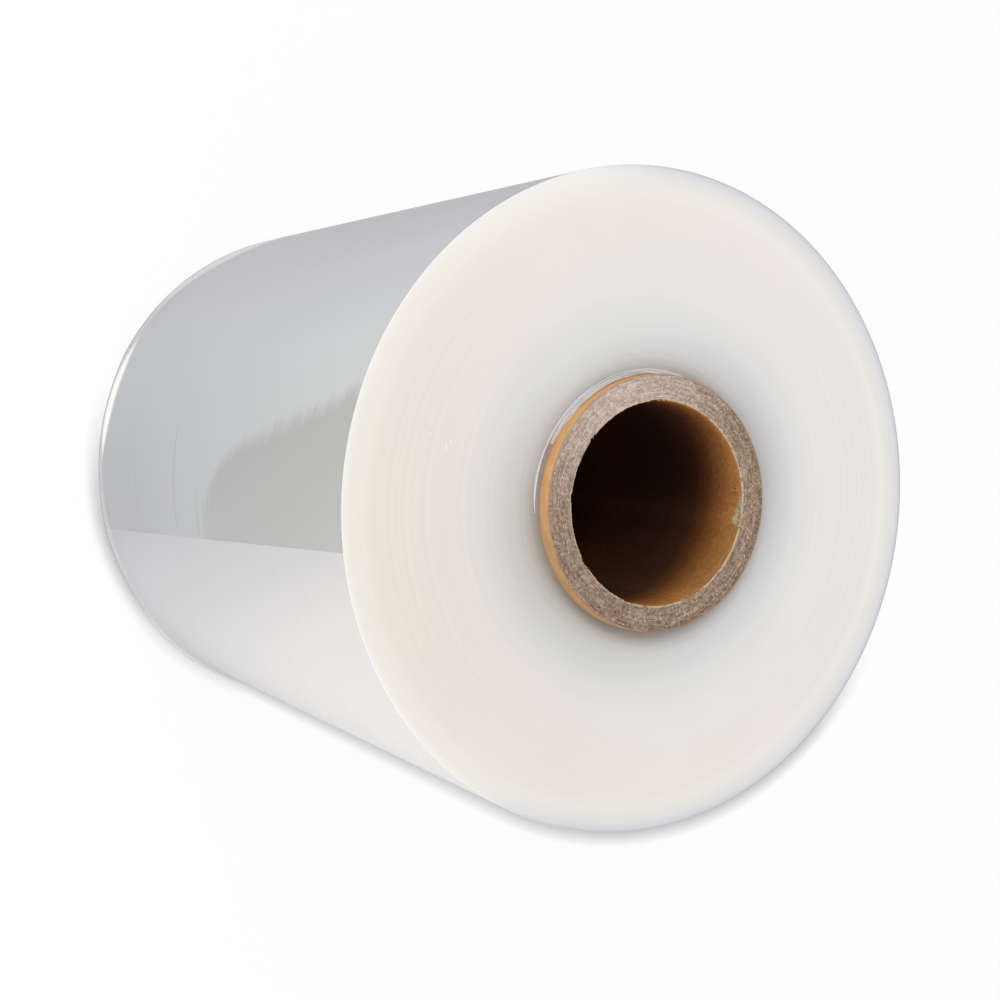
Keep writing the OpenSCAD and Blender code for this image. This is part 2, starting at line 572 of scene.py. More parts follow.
def film_face_look(tree):
    roll = roll_sockets(tree, waviness=0.6, bands=700)
    radius, angle = roll["Radius"], roll["Angle"]
    turns = noise_of(roll["Wound"], detail=4)
    clouds = wound_noise(tree, *FACE_CLOUDS)

    # Cream all round, warmer on one side, with the rim away from the light on the other
    base = ramp_of(radius, FILM_IN, FILM_OUT, FACE_RAMP)
    warm = range_of(facing(angle, FACE_WARM_SIDE_DEG), -1, 1) ** 2
    base = mix_colour(warm, base, mix_colour(1.0, base, FACE_WARM, "MULTIPLY"))
    far = smooth_step(facing(angle, FAR_SIDE_DEG), *FAR_SIDE_EDGE) * smooth_step(radius, *FAR_RIM_FADE)
    base = mix_colour(far, base, ramp_of(radius, FAR_RIM_FROM, FILM_OUT, FAR_RIM_RAMP))

    # Round the core a little lighter or darker, by the side that faces the light
    shade = sum(lobe(angle, place, power) * level for place, power, level in CORE_SHADES)
    near_core = 1 - smooth_step(radius, *CORE_SHADE_FADE)
    rings = range_of(turns, *NOISE, *FACE_TURN_TONES) + range_of(clouds, *NOISE, *FACE_CLOUD_TONES)
    return {
        "Base Color": scaled(base, near_core * shade + rings),
        "Roughness": range_of(turns, *NOISE, 0.38, 0.5),
        "IOR": FILM_IOR,
        "Specular IOR Level": 0.35,
        "Normal": bump_of(turns, 0.1, 0.08 * MM),
    }


FILM_FACE = new_material("film wound face", film_face_look)

# %% [markdown]
# The side. Flat on, the film is smooth and greyer, and much of its tone is painted reflection and light:
# what the glossy film showed of its surroundings, laid into its colour. The free end lies on it as a
# straight, slightly leaning line. Beyond the line the last turn looks pale. Before it there is a patch
# of painted dark reflection, with an edge that is torn into streaks round the roll. The group measures,
# in degrees, how far before the free end a point lies, and everything else on the side is placed with
# that and the height.

# %% Free end group
TAIL_DEG = -72.7
TAIL_LEAN_DEG = -8.2
TAIL_LEAN = math.radians(TAIL_LEAN_DEG) / CORE_TOP


def before_end_group():
    inputs = {"Angle": 0.0, "Height": 0.0}
    tree, given = new_group("before the free end", "ShaderNodeTree", inputs, {"Before": "NodeSocketFloat"})
    end = (given["Height"] - MIDDLE) * TAIL_LEAN + math.radians(TAIL_DEG)
    node(tree, "NodeGroupOutput", {"Before": maths("DEGREES", end - given["Angle"]) % 360})
    return tree


BEFORE_END = before_end_group()
print("free end leans from", TAIL_DEG - TAIL_LEAN_DEG / 2, "to", TAIL_DEG + TAIL_LEAN_DEG / 2, "degrees")

# %% [markdown]
# Two fields of tone make up the side, partly the film's own grey and partly painted reflection and
# light. Before the free end it is grey, and the grey changes along the roll, so two ramps round the
# roll, one for each end, are mixed by height. After the end the tone follows a slope that runs across
# the last turn, a painted gradient of light that is lighter towards the upper end.

# %% Tones of the side
# Shares of 80 degrees before the free end
GREY_REACH_DEG = 80
GREY_AT_TOP = [
    (0.0, 183, 184, 185), (0.3, 193, 194, 194), (0.44, 196, 197, 198), (0.56, 189, 190, 192),
    (0.69, 181, 181, 186), (0.81, 162, 162, 170), (1.0, 136, 136, 143),
]
GREY_AT_FOOT = [
    (0.0, 159, 160, 165), (0.13, 161, 162, 167), (0.3, 168, 169, 173), (0.46, 175, 176, 181),
    (0.59, 178, 179, 184), (0.71, 171, 171, 177), (0.84, 166, 166, 172), (1.0, 155, 155, 161),
]
GREY_LEVELS = (60 * MM, 312 * MM)
BACK_GREYS = [(0.0, 170, 170, 175), (1.0, 180, 181, 184)]
# The plain grey of the back takes over between these angles before and after the free end
BACK_BEFORE = (90, 130)
BACK_AFTER = (110, 200)
# Painted light on the last turn: lighter towards the upper end along a slope across it
LAST_TURN = [
    (0.0, 173, 172, 177), (0.075, 177, 176, 182), (0.16, 180, 179, 184), (0.26, 182, 182, 184),
    (0.36, 186, 186, 187), (0.46, 192, 192, 192), (0.56, 199, 197, 197), (0.66, 207, 204, 203),
    (0.76, 212, 208, 207), (1.0, 217, 213, 212),
]
# The slope is the height plus these shares of X and Y, and the ramp lies between two values of it
LAST_TURN_SLOPE = (3.9, -1.78)
LAST_TURN_SPAN = (0.422, 0.822)


def side_tones(tree, before, height, blotches):
    """Grey side before the free end, paler last turn after it: partly painted reflection and light."""
    top, foot = (ramp_of(before / GREY_REACH_DEG, 0, 1, stops) for stops in (GREY_AT_TOP, GREY_AT_FOOT))
    grey = mix_colour(range_of(height, *GREY_LEVELS), foot, top)
    grey = mix_colour(smooth_step(before, *BACK_BEFORE), grey, ramp_of(blotches, *MID_NOISE, BACK_GREYS))
    spot = split(object_place(tree))
    slope = spot["X"] * LAST_TURN_SLOPE[0] + spot["Y"] * LAST_TURN_SLOPE[1] + height
    last_turn = ramp_of(slope, *LAST_TURN_SPAN, LAST_TURN)
    return mix_colour(smooth_step(360 - before, *BACK_AFTER), last_turn, grey)


# %% [markdown]
# The dark patch by the free end is a painted reflection: a darker part of the surroundings, which the
# glossy film mirrored, laid into its colour. It narrows towards the foot. Streaky noises push its edge
# in and out, from coarse to hair fine, along the way the turns were wound. The far side has a few
# darker marks of the same tone.

# %% Painted dark reflection and darker marks
PATCH_TOP = 316 * MM
PATCH_FOOT = 162 * MM
PATCH_WIDTH_DEG = 25.2
# Degrees per metre by which it narrows all along, and closes at its foot, and the rounding between
PATCH_NARROWS = 76
PATCH_CLOSES = 600
PATCH_ROUNDING = 20.0
# Waviness, bands per metre and detail of each noise, and the degrees by which it frays the edge
PATCH_FRAYS = [(2.0, 90, 1, 4.0), (5.0, 700, 3, 2.0), (9.0, 1500, 2, 2.6)]
PATCH_SOFT_DEG = (-2.6, 2.2)
PATCH_END = (162 * MM, 184 * MM)
PATCH_END_FRAY = 30 * MM
PATCH_RAMP = [(0.0, 156, 158, 156), (1.0, 170, 170, 168)]
PATCH_RAMP_SPAN = (180 * MM, 316 * MM)
# Darker marks: where in the blotches they lie, first and last degree before the end and softness, depth
DARK_MARK_LEVELS = (0.6, 0.66)
DARK_MARK_PLACE = (125, 285, 20)
DARK_MARK_DEPTH = 0.4
# The patch is a little lighter over the first degrees before the end
PATCH_LIGHTER = (0, 26, 1.05, 0.98)


def painted_dark_reflection(tree, before, height, blotches):
    """A mask of the painted dark reflection by the free end and the darker marks at the back, its colour,
    fine streaks.
    """
    noises = [wound_noise(tree, *settings) - 0.5 for *settings, fray in PATCH_FRAYS]
    coarse, fine, hair = noises
    narrowed = PATCH_WIDTH_DEG - (PATCH_TOP - height) * PATCH_NARROWS
    width = maths("SMOOTH_MIN", narrowed, (height - PATCH_FOOT) * PATCH_CLOSES, PATCH_ROUNDING)
    for streaks, (*settings, fray) in zip(noises, PATCH_FRAYS):
        width = streaks * fray + width
    end = (fine + hair) * PATCH_END_FRAY + height
    patch = smooth_step(width - before, *PATCH_SOFT_DEG) * smooth_step(end, *PATCH_END)
    dark_marks = fine * 0.1 + (coarse * 0.12 + blotches)
    dark_marks = smooth_step(dark_marks, *DARK_MARK_LEVELS) * band(before, *DARK_MARK_PLACE) * DARK_MARK_DEPTH
    dark = ramp_of(height, *PATCH_RAMP_SPAN, PATCH_RAMP)
    return maths("MAXIMUM", patch, dark_marks), scaled(dark, range_of(before, *PATCH_LIGHTER)), fine


# %% [markdown]
# Fine creases run round the roll close to the free end, drawn as thin lines of painted shade. At the
# foot the outermost turns hang past the face as a pale fold, which is wider where it has been pushed
# out, with one painted glint on it, a highlight. Where the lip flares it is drawn tight: a grey band of
# painted shade lies above a pale line of painted highlight close to its edge. Along the very edge of the
# foot runs a dark line of painted shade.

# %% Creases and lip
# Height, climb per degree, first and last degree before the free end, depth
CREASES = [
    (134 * MM, -0.05 * MM, 1, 22, 0.5),
    (74 * MM, -0.1 * MM, 5, 19, 0.3),
    (164 * MM, 0.1 * MM, 0, 10, 0.4),
    (172 * MM, 0.1 * MM, 1, 9, 0.3),
]
CREASE_WIDTH = 1.0 * MM
CREASE_WANDER = 6 * MM
CREASE_SOFT_DEG = 3
CREASE_SHADE_COLOUR = (136, 136, 140)
FOLD_TOP = 14 * MM
FOLD_DEPTH = 0.85
FOLD_COLOURS = ((190, 190, 194), (218, 218, 220))
# Where the fold is wider, by how much, and how much longer it fades there
FOLD_FLARE_DEG = (68, 104, 26)
FOLD_FLARE = 34 * MM
FOLD_FADE = 18 * MM
FOLD_PALE_DEG = (55, 105, 18)
# Painted highlight: middle and half length of the glint in degrees before the free end, its height and half
# width
GLINT = (31.5, 16, 13.5 * MM, 8 * MM)
GLINT_EDGE = (0.35, 1.1)
GLINT_COLOUR = (253, 251, 243)
# Where the lip is pulled tight, and the bands that it shows there, painted shade above a painted
# highlight: levels and softness, depth, colour
PULLED_DEG = (294, 342, 22)
PULLED_BANDS = [
    ((7 * MM, 12 * MM, 6 * MM), 0.5, (182, 182, 189)),
    ((3.2 * MM, 6.4 * MM, 1.6 * MM), 0.6, (224, 224, 227)),
]
# A dark line of painted shade along the very edge of the foot, lower where the lip is pulled tight
EDGE_DARK_TO = 5 * MM
EDGE_DARK_PULLED = -1.7 * MM
EDGE_SHADE = ((112, 112, 122), 0.7)


def creases_and_lip(colour, before, height, blotches):
    """Draws creases and the dark edge of the foot as painted shade, and the pale fold at the foot,
    which flares on one side, with a painted glint and, where pulled tight, painted shade and highlight.
    """
    for level, climb, nearest, furthest, depth in CREASES:
        line = (blotches - 0.5) * CREASE_WANDER + (before * climb + level)
        beside_end = band(before, nearest, furthest, CREASE_SOFT_DEG)
        crease = (1 - smooth_step(abs(height - line), 0, CREASE_WIDTH)) * beside_end
        colour = painted(colour, crease, CREASE_SHADE_COLOUR, depth)
    flare = band(before, *FOLD_FLARE_DEG)
    into = flare * FOLD_FLARE + FOLD_TOP - height
    fold = smooth_step(into, -3 * MM, flare * FOLD_FADE + 4 * MM)
    colour = painted(colour, fold, mix_colour(band(before, *FOLD_PALE_DEG), *FOLD_COLOURS), FOLD_DEPTH)
    middle, half_length, level, half_width = GLINT
    off = abs((before - middle) / half_length) ** 2.5 + abs((height - level) / half_width)
    colour = mix_colour(1 - smooth_step(off, *GLINT_EDGE), colour, GLINT_COLOUR)
    pulled = band(before, *PULLED_DEG)
    for levels, depth, pulled_colour in PULLED_BANDS:
        colour = mix_colour(band(height, *levels) * (pulled * depth), colour, pulled_colour)
    above_edge = height - (pulled * EDGE_DARK_PULLED + EDGE_DARK_TO)
    return painted(colour, 1 - smooth_step(above_edge, -1.5 * MM, 0), *EDGE_SHADE)


# %% [markdown]
# The layers of the side go on top of each other in the order in which they lie on the film.

# %% Side of the film
BLOTCHES = (1.6, 14, 2)
SIDE_TURN_TONES = (0.991, 1.009)
SIDE_STREAKS = 0.02


def film_side_look(tree):
    roll = roll_sockets(tree, waviness=1.2, bands=260)
    height = roll["Height"]
    before = node(tree, "ShaderNodeGroup", {"Angle": roll["Angle"], "Height": height}, node_tree=BEFORE_END)
    turns = noise_of(roll["Wound"], detail=3)
    blotches = wound_noise(tree, *BLOTCHES)
    colour = side_tones(tree, before, height, blotches)
    patch, dark, fine = painted_dark_reflection(tree, before, height, blotches)
    colour = mix_colour(patch, colour, dark)
    colour = creases_and_lip(colour, before, height, blotches)
    return {
        "Base Color": scaled(colour, fine * SIDE_STREAKS + range_of(turns, *NOISE, *SIDE_TURN_TONES)),
        "Roughness": range_of(turns, *NOISE, 0.23, 0.27),
        "IOR": FILM_IOR,
        "Specular IOR Level": 0.3,
        "Normal": bump_of(turns, 0.06, 0.1 * MM),
    }


FILM_SIDE = new_material("film side", film_side_look)

# %% [markdown]
# The wound film. Its outline runs up the core, out over the upper face, round the rim, down the side,
# round the thin lip of outermost turns and back in under the lower face. Each turn sits a hair
# higher or lower than its neighbour, so the faces get a seeded wander, and near the rim the turns
# fall off in a soft shoulder, because the outermost ones are pulled tight over a softer edge.

# %% Outline of the film
SHOULDER = (2.0 * MM, 0.7 * MM)
LIP_ROOT = 3.2 * MM
LIP_EDGE = 1.2 * MM
TURN_WANDER = 0.05 * MM
CORNER = 0.4 * MM
FACE_POINTS = 90
RIM_POINTS = 14
SIDE_POINTS = 56
BEAD_POINTS = 8


def arc(centre_r, centre_z, radii, start_deg, end_deg, count):
    """Points on part of an ellipse in the outline's plane."""
    angles = [math.radians(start_deg + (end_deg - start_deg) * i / count) for i in range(count + 1)]
    return [(centre_r + radii[0] * math.cos(a), centre_z + radii[1] * math.sin(a)) for a in angles]


def wound_face(level, direction, inner, outer, count, seed):
    """Points of a face from its inner to its outer radius, with turns that wander a little."""
    chance = random.Random(seed)
    radii = [inner + (outer - inner) * i / count for i in range(count + 1)]
    return [(r, level + direction * chance.uniform(-TURN_WANDER, TURN_WANDER)) for r in radii]


def film_outline():
    rim_level = FACE_UP - SHOULDER[1]
    side_low = LIP_LEVEL + LIP_EDGE
    bead = LIP_EDGE / 2
    outline = [(FILM_IN, FACE_DOWN), (FILM_IN, FACE_UP)]
    outline += wound_face(FACE_UP, 1, FILM_IN + CORNER, FILM_OUT - SHOULDER[0] - CORNER, FACE_POINTS, seed=3)
    outline += arc(FILM_OUT - SHOULDER[0], rim_level, SHOULDER, 90, 0, RIM_POINTS)
    for i in range(1, SIDE_POINTS):
        outline.append((FILM_OUT, rim_level + (side_low - rim_level) * i / SIDE_POINTS))
    outline += arc(FILM_OUT - bead, LIP_LEVEL + bead, (bead, bead), 0, -180, BEAD_POINTS)
    lower = wound_face(FACE_DOWN, -1, FILM_IN + CORNER, FILM_OUT - LIP_ROOT, FACE_POINTS // 2, seed=5)
    return outline + lower[::-1]


# %% [markdown]
# A foot that hangs free doesn't stay round: it curls in a little, it has been squashed where the roll
# was set down, and it flares out beside that. Each point is moved after the body is made.

# %% Curl of the foot
CURL_HEIGHT = 16 * MM
CURL = 0.2 * MM
# Place in degrees, half width in degrees, how far the lip is pushed in: squashed, then flared
BENT = [(-90, 24, 1.3 * MM), (-26, 24, -3.4 * MM)]


def curled(x, y, z):
    """Where a point moves to: the foot of the outermost turns curls in, and is bent in two places."""
    radius, angle = math.hypot(x, y), math.degrees(math.atan2(y, x))
    outermost = min(1.0, max(0.0, (radius - FILM_OUT + LIP_ROOT + 1 * MM) / (1 * MM)))
    if z > CURL_HEIGHT or outermost == 0:
        return x, y, z
    shrink = CURL
    for place, half_width, push in BENT:
        near = max(0.0, 1 - ((angle - place) / half_width) ** 2)
        shrink += push * near * near * (3 - 2 * near)
    shrink *= (1 - z / CURL_HEIGHT) ** 2 * outermost
    return x * (1 - shrink / radius), y * (1 - shrink / radius), z


# %% [markdown]
# The revolve tree turns the outline round the axis, with its seam on the free end. Faces that look
# outwards below the rim take the side's material, and all others the wound face's.

# %% Wound film
TAIL_STEP = 0.04 * MM
TAIL_REACH = 0.375
SIDE_DEPTH = 0.6 * MM
film = revolve(
    "film_body", film_outline(), FILM_FACE, steps=320,
    Start_Angle=math.radians(TAIL_DEG) - TAIL_LEAN * MIDDLE, Lean=TAIL_LEAN,
    End_Step=TAIL_STEP, End_Reach=TAIL_REACH, End_Radius=FILM_OUT,
    Relief=0.08 * MM, Bands_per_Metre=420.0, Waviness=1.4,
)
film.data.materials.append(FILM_SIDE)
for face in film.data.polygons:
    radius = math.hypot(face.center.x, face.center.y)
    if radius > FILM_OUT - SIDE_DEPTH and face.center.z < FACE_UP - SHOULDER[1] * 0.8:
        face.material_index = 1
for vertex in film.data.vertices:
    vertex.co = curled(*vertex.co)
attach(film, "root")
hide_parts("film_roll")

# %% [markdown]
# The paperboard core is wound from a dozen glued plies of grey board with a kraft ply inside and
# outside. The saw leaves a furry ring in which the plies show as fine broken lines, with bright flecks
# of hard fibre. One side of it is painted lighter, as light, and the outer plies across from there are
# painted darker, as shade.

# %% Cut end of the core
PLY = 0.78 * MM
CORE_LIT_SIDE_DEG = -150
CORE_LIT = 0.18
# The outer plies are darker away from this direction
UNLIT_OPPOSITE_DEG = -130
UNLIT_FADE = (43.5 * MM, 46.5 * MM)
UNLIT = -0.035
BOARD_RAMP = [(0.1, 94, 73, 58), (0.34, 154, 131, 111), (0.6, 200, 180, 169), (0.85, 230, 217, 208)]
BOARD_SPAN = (0.26, 0.96)
# Scale and detail of the noises, or waviness, bands per metre and detail where they run round the core
FELT = (480, 2)
FLECKS = (1300, 1)
PLIES = (5.0, 1500, 3)
BREAKS = (9.0, 700, 2)
# Range over which each thing shows, and then its colour and depth
LINE_EDGE = (0.05, 0.26)
LINE_BREAKS = (0.44, 0.58)
PLY_LINE = ((92, 70, 56), 0.42)
FLECK_LEVELS = (0.70, 0.76)
FLECK = ((228, 220, 210), 0.75)
INNER_PLY_FADE = (BORE + 0.3 * MM, BORE + 0.9 * MM)
INNER_PLY_LEVELS = (0.28, 0.5)
INNER_PLY = ((212, 188, 156), 0.75)
OUTER_PLY_FADE = (CORE_OUT - 0.8 * MM, CORE_OUT - 0.5 * MM)
OUTER_PLY = ((168, 134, 98), 0.6)


def cut_board_colour(tree, roll, fibre):
    """Grey brown cut board: fibres, broken ply lines, bright flecks, and a paler ply at each edge."""
    radius, angle = roll["Radius"], roll["Angle"]
    place = object_place(tree)
    felt = noise_of(place, *FELT)
    level = wound_noise(tree, *PLIES) * 0.35 + (fibre * 0.5 + felt * 0.15)
    level = lobe(angle, CORE_LIT_SIDE_DEG, 2) * CORE_LIT + level
    unlit = smooth_step(radius, *UNLIT_FADE) * (1 - lobe(angle, UNLIT_OPPOSITE_DEG, 0.5))
    board = ramp_of(unlit * UNLIT + level, *BOARD_SPAN, BOARD_RAMP)
    ply = (radius - BORE) / PLY + (felt - 0.5) * 0.35
    line = 1 - smooth_step(abs(maths("FRACT", ply) - 0.5), *LINE_EDGE)
    broken = smooth_step(wound_noise(tree, *BREAKS), *LINE_BREAKS)
    board = painted(board, line * broken, *PLY_LINE)
    board = painted(board, smooth_step(noise_of(place, *FLECKS), *FLECK_LEVELS), *FLECK)
    inner_ply = (1 - smooth_step(radius, *INNER_PLY_FADE)) * smooth_step(felt, *INNER_PLY_LEVELS)
    board = painted(board, inner_ply, *INNER_PLY)
    return painted(board, smooth_step(radius, *OUTER_PLY_FADE), *OUTER_PLY)


# %% [markdown]
# The bore is orange brown kraft. Its colour is painted darker with depth, as shade: the light reaches
# only the first few centimetres of it, further on the side across from the lamp. Near the upper end a
# piece of the inner ply has been torn out, and the grey board shows under it.

# %% Bore of the core
BORE_RAMP_REACH = 100 * MM
BORE_RAMP = [
    (0.0, 186, 132, 78), (0.05, 184, 127, 72), (0.10, 176, 118, 62), (0.17, 146, 94, 46),
    (0.25, 104, 60, 27), (0.33, 68, 37, 17), (0.5, 60, 32, 15), (0.75, 78, 44, 20),
    (1.0, 108, 62, 30),
]
DEEPEST_LIT_DEG = 65
SOONER_DARK = 14 * MM
SOONER_FROM = (0, 4 * MM)
SPECKS = (700, 3)
SPECK_LEVELS = (0.4, 0.62)
SPECK_TONES = (0.9, 1.08)
# Centre in degrees, half width in degrees, depth below the upper end
TORN_PLY = (93, 11, 8 * MM)
TORN_EDGE = (0.85, 1.0)
UNDER_BOARD = [(0.0, 168, 150, 119), (1.0, 210, 194, 164)]


def bore_colour(tree, roll, from_end, fibre):
    """Kraft painted darker down the bore as shade, with a torn place near the upper end."""
    angle = roll["Angle"]
    sooner = maths("MINIMUM", (1 - facing(angle, DEEPEST_LIT_DEG)) * SOONER_DARK, SOONER_DARK)
    depth = sooner * smooth_step(from_end, *SOONER_FROM) + from_end
    specks = smooth_step(noise_of(object_place(tree), *SPECKS), *SPECK_LEVELS)
    bore = scaled(ramp_of(depth, 0, BORE_RAMP_REACH, BORE_RAMP), range_of(specks, 0, 1, *SPECK_TONES))

    # The torn place is a wedge, which is deeper on one side, with a ragged edge
    place, half_width, deep = TORN_PLY
    off = (maths("DEGREES", angle) - place) / half_width
    wedge = off * 0.5 + ((CORE_TOP - roll["Height"]) / deep + 0.45)
    ragged = (fibre - 0.5) * 1.1 + (abs(off) ** 6 + wedge)
    torn = 1 - smooth_step(ragged, *TORN_EDGE)
    return mix_colour(torn, bore, ramp_of(fibre, *MID_NOISE, UNDER_BOARD))


# %% [markdown]
# One material covers the whole core. Depth below the nearer end tells the cut ring from the walls, and
# the radius tells the bore from the outside.

# %% Core paper material
END_SKIN = (0.27 * MM, 0.54 * MM)
OUTSIDE_FADE = (CORE_OUT - 1.2 * MM, CORE_OUT - 0.7 * MM)
FIBRE = (1100, 4)
KRAFT_STREAKS = (9, 500, 4)
KRAFT_TONES = (0.86, 1.12)
KRAFT = ((196, 148, 100), (211, 164, 116))
# Painted light: the outside kraft is lighter towards this side and darker away from it
KRAFT_LIT_SIDE_DEG = -115
KRAFT_LIT = 0.38
KRAFT_UNLIT_TONE = 0.8
# Kraft beside the face, which the first clear turns cover and where painted shade falls at the face:
# from where to where, colour and depth
COVERED_AND_SHADED = (PROUD - 1.7 * MM, PROUD - 0.2 * MM)
COVER_AND_SHADE = ((172, 152, 132), 0.8)


def core_look(tree):
    roll = roll_sockets(tree)
    fibre = noise_of(object_place(tree), *FIBRE)
    kraft = wound_noise(tree, *KRAFT_STREAKS)
    from_end = maths("MINIMUM", CORE_TOP - roll["Height"], roll["Height"])
    bore = scaled(bore_colour(tree, roll, from_end, fibre), range_of(kraft, *NOISE, *KRAFT_TONES))
    outside = mix_colour(range_of(kraft, *MID_NOISE), *KRAFT)
    outside = scaled(outside, lobe(roll["Angle"], KRAFT_LIT_SIDE_DEG, 3) * KRAFT_LIT + KRAFT_UNLIT_TONE)
    outside = painted(outside, smooth_step(from_end, *COVERED_AND_SHADED), *COVER_AND_SHADE)
    wall = mix_colour(smooth_step(roll["Radius"], *OUTSIDE_FADE), bore, outside)
    is_ring = 1 - smooth_step(from_end, *END_SKIN)
    return {
        "Base Color": mix_colour(is_ring, wall, cut_board_colour(tree, roll, fibre)),
        "Roughness": range_of(fibre, *MID_NOISE, 0.78, 0.95),
        "Specular IOR Level": 0.25,
        "Normal": bump_of(kraft * 0.4 + fibre, 0.5, 0.25 * MM),
    }


CORE = new_material("core paper", core_look)

# %% [markdown]
# The core tube is revolved with many points across the upper ring, and then roughened point by point:
# plies stand a little apart, and the inner edge is frayed, with a few deeper tears.

# %% Core tube
EASE = 0.5 * MM
RING_POINTS = 22
ROUGH_DEPTH = 2 * MM
FRAY_REACH = 2.2 * MM
FRAY = 0.32 * MM
# Scale and share of each noise that frays the inner edge
FRAY_NOISES = [(26, 0.6), (70, 0.4)]
PLY_RELIEF = 0.1 * MM
# Tears of the inner edge: place in degrees, half width in degrees, depth in millimetres
TEARS = [
    (-50, 5, 0.6), (-123, 3.5, 0.45), (-172, 7, 0.45), (118, 4, 0.3), (88, 9, 0.6),
    (36, 4, 0.5), (28, 6, 0.7), (-88, 3, 0.3), (-14, 3, 0.35),
]


def core_outline():
    ease = (EASE, EASE)
    inner, outer = BORE + EASE, CORE_OUT - EASE
    outline = arc(inner, EASE, ease, 270, 180, 4)
    outline += arc(inner, CORE_TOP - EASE, ease, 180, 90, 5)
    for i in range(1, RING_POINTS):
        outline.append((inner + (outer - inner) * i / RING_POINTS, CORE_TOP))
    outline += arc(outer, CORE_TOP - EASE, ease, 90, 0, 4)
    outline += arc(outer, EASE, ease, 0, -90, 4)
    return outline


def roughened(x, y, z):
    """Where a point of the upper end of the core moves to."""
    radius, angle = math.hypot(x, y), math.atan2(y, x)
    below = CORE_TOP - z
    if below > ROUGH_DEPTH:
        return x, y, z
    direction = Vector((math.cos(angle), math.sin(angle), 0))
    edge = max(0.0, 1 - math.hypot(radius - BORE, below) / FRAY_REACH)
    fray = sum(noise.noise(direction * scale) * share for scale, share in FRAY_NOISES)
    pull = FRAY * fray * edge
    for place, half_width, tear in TEARS:
        off = (math.degrees(angle) - place + 180) % 360 - 180
        ragged = 1 - (off / half_width) ** 2 + 0.5 * noise.noise(direction * 90)
        pull += tear * MM * max(0.0, ragged) * edge
    across = Vector((math.cos(angle) * 4, math.sin(angle) * 4, radius / (0.5 * MM)))
    sink = PLY_RELIEF * (0.5 + noise.noise(across)) + 0.6 * max(0.0, pull)
    on_top = max(0.0, 1 - below / (1.0 * MM))
    radius += pull
    return radius * math.cos(angle), radius * math.sin(angle), z - sink * on_top


core = revolve("core_tube", core_outline(), CORE, steps=420, sharp_deg=60)
for vertex in core.data.vertices:
    vertex.co = roughened(*vertex.co)
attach(core, "root")
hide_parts("cardboard_core")

# %% [markdown]
# Torn paper and nicked film are the same shape at different sizes: thin slivers on an edge. One
# scatter tree makes both. It drops points on a ring, gives each a random place, turn and size from
# a seed, and sets a long, flat cone on it, which is closed and has few faces.

# %% Sliver tree
def sliver_tree():
    inputs = {
        "Count": 10, "Seed": 0, "Angle": 0.0, "Angle Spread": 1.0, "Radius": 0.05, "Radius Spread": 0.0,
        "Level": 0.0, "Level Spread": 0.0, "Length": 0.002, "Width": 0.0004, "Thickness": 0.0001,
        "Heading": 0.0, "Disorder": 0.3, "Lean": 0.0, "Material": "NodeSocketMaterial",
    }
    tree, given = new_group("scatter slivers", "GeometryNodeTree", inputs, {"Body": "NodeSocketGeometry"})

    def chance(low, high, salt):
        limits = {2: low, 3: high, 8: given["Seed"] + salt}
        return node(tree, "FunctionNodeRandomValue", limits, data_type="FLOAT")[1]

    def spread(name, salt):
        return chance(-0.5, 0.5, salt) * given[name + " Spread"] + given[name]

    angle, radius, level = spread("Angle", 1), spread("Radius", 2), spread("Level", 3)
    place = joined(radius * maths("COSINE", angle), radius * maths("SINE", angle), level)
    dots = node(tree, "GeometryNodePoints", {"Count": given["Count"], "Position": place})
    keeping = {"Geometry": dots, "Name": "turned", "Value": angle}
    points = node(tree, "GeometryNodeStoreNamedAttribute", keeping)
    turned = node(tree, "GeometryNodeInputNamedAttribute", {"Name": "turned"})
    shape = {"Vertices": 5, "Radius Top": 0.12, "Radius Bottom": 0.5, "Depth": 1.0}
    spin = turned + given["Heading"] + chance(-1, 1, 4) * given["Disorder"]
    tilt = chance(-1, 1, 5) * given["Disorder"] + given["Lean"]
    length = given["Length"] * chance(0.5, 1.3, 6)
    width = given["Width"] * chance(0.6, 1.4, 7)
    placing = {
        "Points": points,
        "Instance": node(tree, "GeometryNodeMeshCone", shape),
        "Rotation": joined(0.0, tilt + math.pi / 2, spin),
        "Scale": joined(given["Thickness"], width, length),
    }
    end_body(tree, node(tree, "GeometryNodeInstanceOnPoints", placing), given["Material"])
    return tree


SLIVERS = sliver_tree()
print("sliver tree has", len(SLIVERS.nodes), "nodes")


def slivers(name, material, count, place_deg, spread_deg, seed, **sizes):
    """Slivers scattered on part of a ring about the roll's axis."""
    arc_of_ring = {"Angle": math.radians(place_deg), "Angle_Spread": math.radians(spread_deg)}
    empty = bpy.data.meshes.new(name + " seed")
    return grown(name, empty, SLIVERS, material, 30, Count=count, Seed=seed, **arc_of_ring, **sizes)


# %% [markdown]
# Torn fibres of board stand out of the bore's edge, mostly where a piece of ply is missing. A flake of
# kraft beside them still hangs on by one side.

# %% Torn fibres of the core
FIBRE_RAMP = [(0.0, 150, 116, 76), (0.6, 186, 156, 114), (1.0, 214, 194, 160)]
# Place in degrees, spread in degrees, how many
TORN_PLACES = [(88, 18, 60), (30, 14, 40), (-172, 14, 30), (-50, 10, 22), (-123, 8, 14)]


def mottled(name, stops, scale, inputs):
    """A material whose colour only varies from place to place."""

    def look(tree):
        return {"Base Color": ramp_of(noise_of(object_place(tree), scale, 2), *MID_NOISE, stops), **inputs}

    return new_material(name, look)


